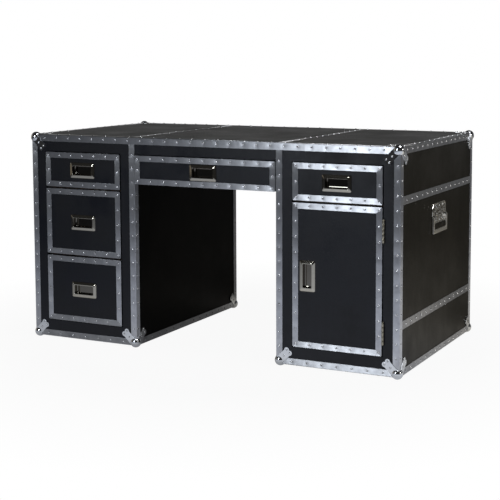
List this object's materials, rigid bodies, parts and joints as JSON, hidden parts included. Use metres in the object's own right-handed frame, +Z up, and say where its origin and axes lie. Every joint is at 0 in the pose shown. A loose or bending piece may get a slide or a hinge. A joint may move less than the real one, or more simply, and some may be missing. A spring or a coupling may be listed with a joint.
{
  "type": "writing desk",
  "caption": "Trunk-style pedestal writing desk in black leather with riveted aluminium edges, ball corners, inset drawers, a cupboard door and lifting handles.",
  "frame": {"origin": "on the floor, under the middle of the desk", "axes": "+Z up; the drawer fronts face -Y; +X is to the right of someone facing the desk's front"},
  "size_m": [1.479, 0.791, 0.7755],
  "materials": {
    "black_leather": "smooth black leather with a low sheen, glued over board",
    "aluminium_trim": "satin aluminium angle and strip",
    "rivet_metal": "polished domed rivet heads",
    "chrome": "polished bright plate",
    "drawer_wood": "dark stained hardwood",
    "catch_plastic": "black moulded housing",
    "strike_steel": "plain steel plate"
  },
  "bodies": {
    "carcass": {"top_board": "black_leather", "top_leather_panels": "black_leather", "top_edge_trim": "aluminium_trim", "top_divider_strips": "aluminium_trim", "left_outer_side": "black_leather", "left_inner_side": "black_leather", "right_outer_side": "black_leather", "right_inner_side": "black_leather", "pedestal_bases": "black_leather", "back_panels": "black_leather", "face_frame": "black_leather", "drawer_dividers": "drawer_wood", "left_edge_angles": "aluminium_trim", "right_edge_angles": "aluminium_trim", "side_bands": "aluminium_trim", "ball_corners": "chrome", "cupboard_shelf": "drawer_wood", "shelf_cleats": "drawer_wood", "top_rivets": "rivet_metal", "left_pedestal_rivets": "rivet_metal", "right_pedestal_rivets": "rivet_metal", "handle_plates": "chrome", "drawer_runners": "drawer_wood", "hinge_frame_leaves": "chrome", "hinge_pins": "chrome", "magnet_catch": "catch_plastic"},
    "left_bail": {"left_handle_bail": "chrome"},
    "right_bail": {"right_handle_bail": "chrome"},
    "door": {"door_panel": "black_leather", "door_trim": "aluminium_trim", "door_rivets": "rivet_metal", "door_pull": "chrome", "hinge_door_leaves": "chrome", "door_strike": "strike_steel"},
    "left_top_drawer": {"left_top_drawer_front": "black_leather", "left_top_drawer_trim": "aluminium_trim", "left_top_drawer_rivets": "rivet_metal", "left_top_drawer_pull": "chrome", "left_top_drawer_box": "drawer_wood"},
    "left_middle_drawer": {"left_middle_drawer_front": "black_leather", "left_middle_drawer_trim": "aluminium_trim", "left_middle_drawer_rivets": "rivet_metal", "left_middle_drawer_pull": "chrome", "left_middle_drawer_box": "drawer_wood"},
    "left_bottom_drawer": {"left_bottom_drawer_front": "black_leather", "left_bottom_drawer_trim": "aluminium_trim", "left_bottom_drawer_rivets": "rivet_metal", "left_bottom_drawer_pull": "chrome", "left_bottom_drawer_box": "drawer_wood"},
    "centre_drawer": {"centre_drawer_front": "black_leather", "centre_drawer_trim": "aluminium_trim", "centre_drawer_rivets": "rivet_metal", "centre_drawer_pull": "chrome", "centre_drawer_box": "drawer_wood"},
    "right_drawer": {"right_drawer_front": "black_leather", "right_drawer_trim": "aluminium_trim", "right_drawer_rivets": "rivet_metal", "right_drawer_pull": "chrome", "right_drawer_box": "drawer_wood"}
  },
  "joints": [
    {"name": "left_top_drawer_slide", "type": "slide", "parent": "carcass", "child": "left_top_drawer", "axis": [0, -1, 0], "range_m": [0, 0.45]},
    {"name": "left_middle_drawer_slide", "type": "slide", "parent": "carcass", "child": "left_middle_drawer", "axis": [0, -1, 0], "range_m": [0, 0.45]},
    {"name": "left_bottom_drawer_slide", "type": "slide", "parent": "carcass", "child": "left_bottom_drawer", "axis": [0, -1, 0], "range_m": [0, 0.45]},
    {"name": "centre_drawer_slide", "type": "slide", "parent": "carcass", "child": "centre_drawer", "axis": [0, -1, 0], "range_m": [0, 0.45]},
    {"name": "right_drawer_slide", "type": "slide", "parent": "carcass", "child": "right_drawer", "axis": [0, -1, 0], "range_m": [0, 0.45]},
    {"name": "door_hinge", "type": "hinge", "parent": "carcass", "child": "door", "pos_m": [0.6728, -0.3907, 0.321], "axis": [0, 0, 1], "range_deg": [0, 110]},
    {"name": "left_bail_hinge", "type": "hinge", "parent": "carcass", "child": "left_bail", "pos_m": [-0.73475, 0, 0.4965], "axis": [0, 1, 0], "range_deg": [0, 90]},
    {"name": "right_bail_hinge", "type": "hinge", "parent": "carcass", "child": "right_bail", "pos_m": [0.73475, 0, 0.4965], "axis": [0, -1, 0], "range_deg": [0, 90]}
  ]
}
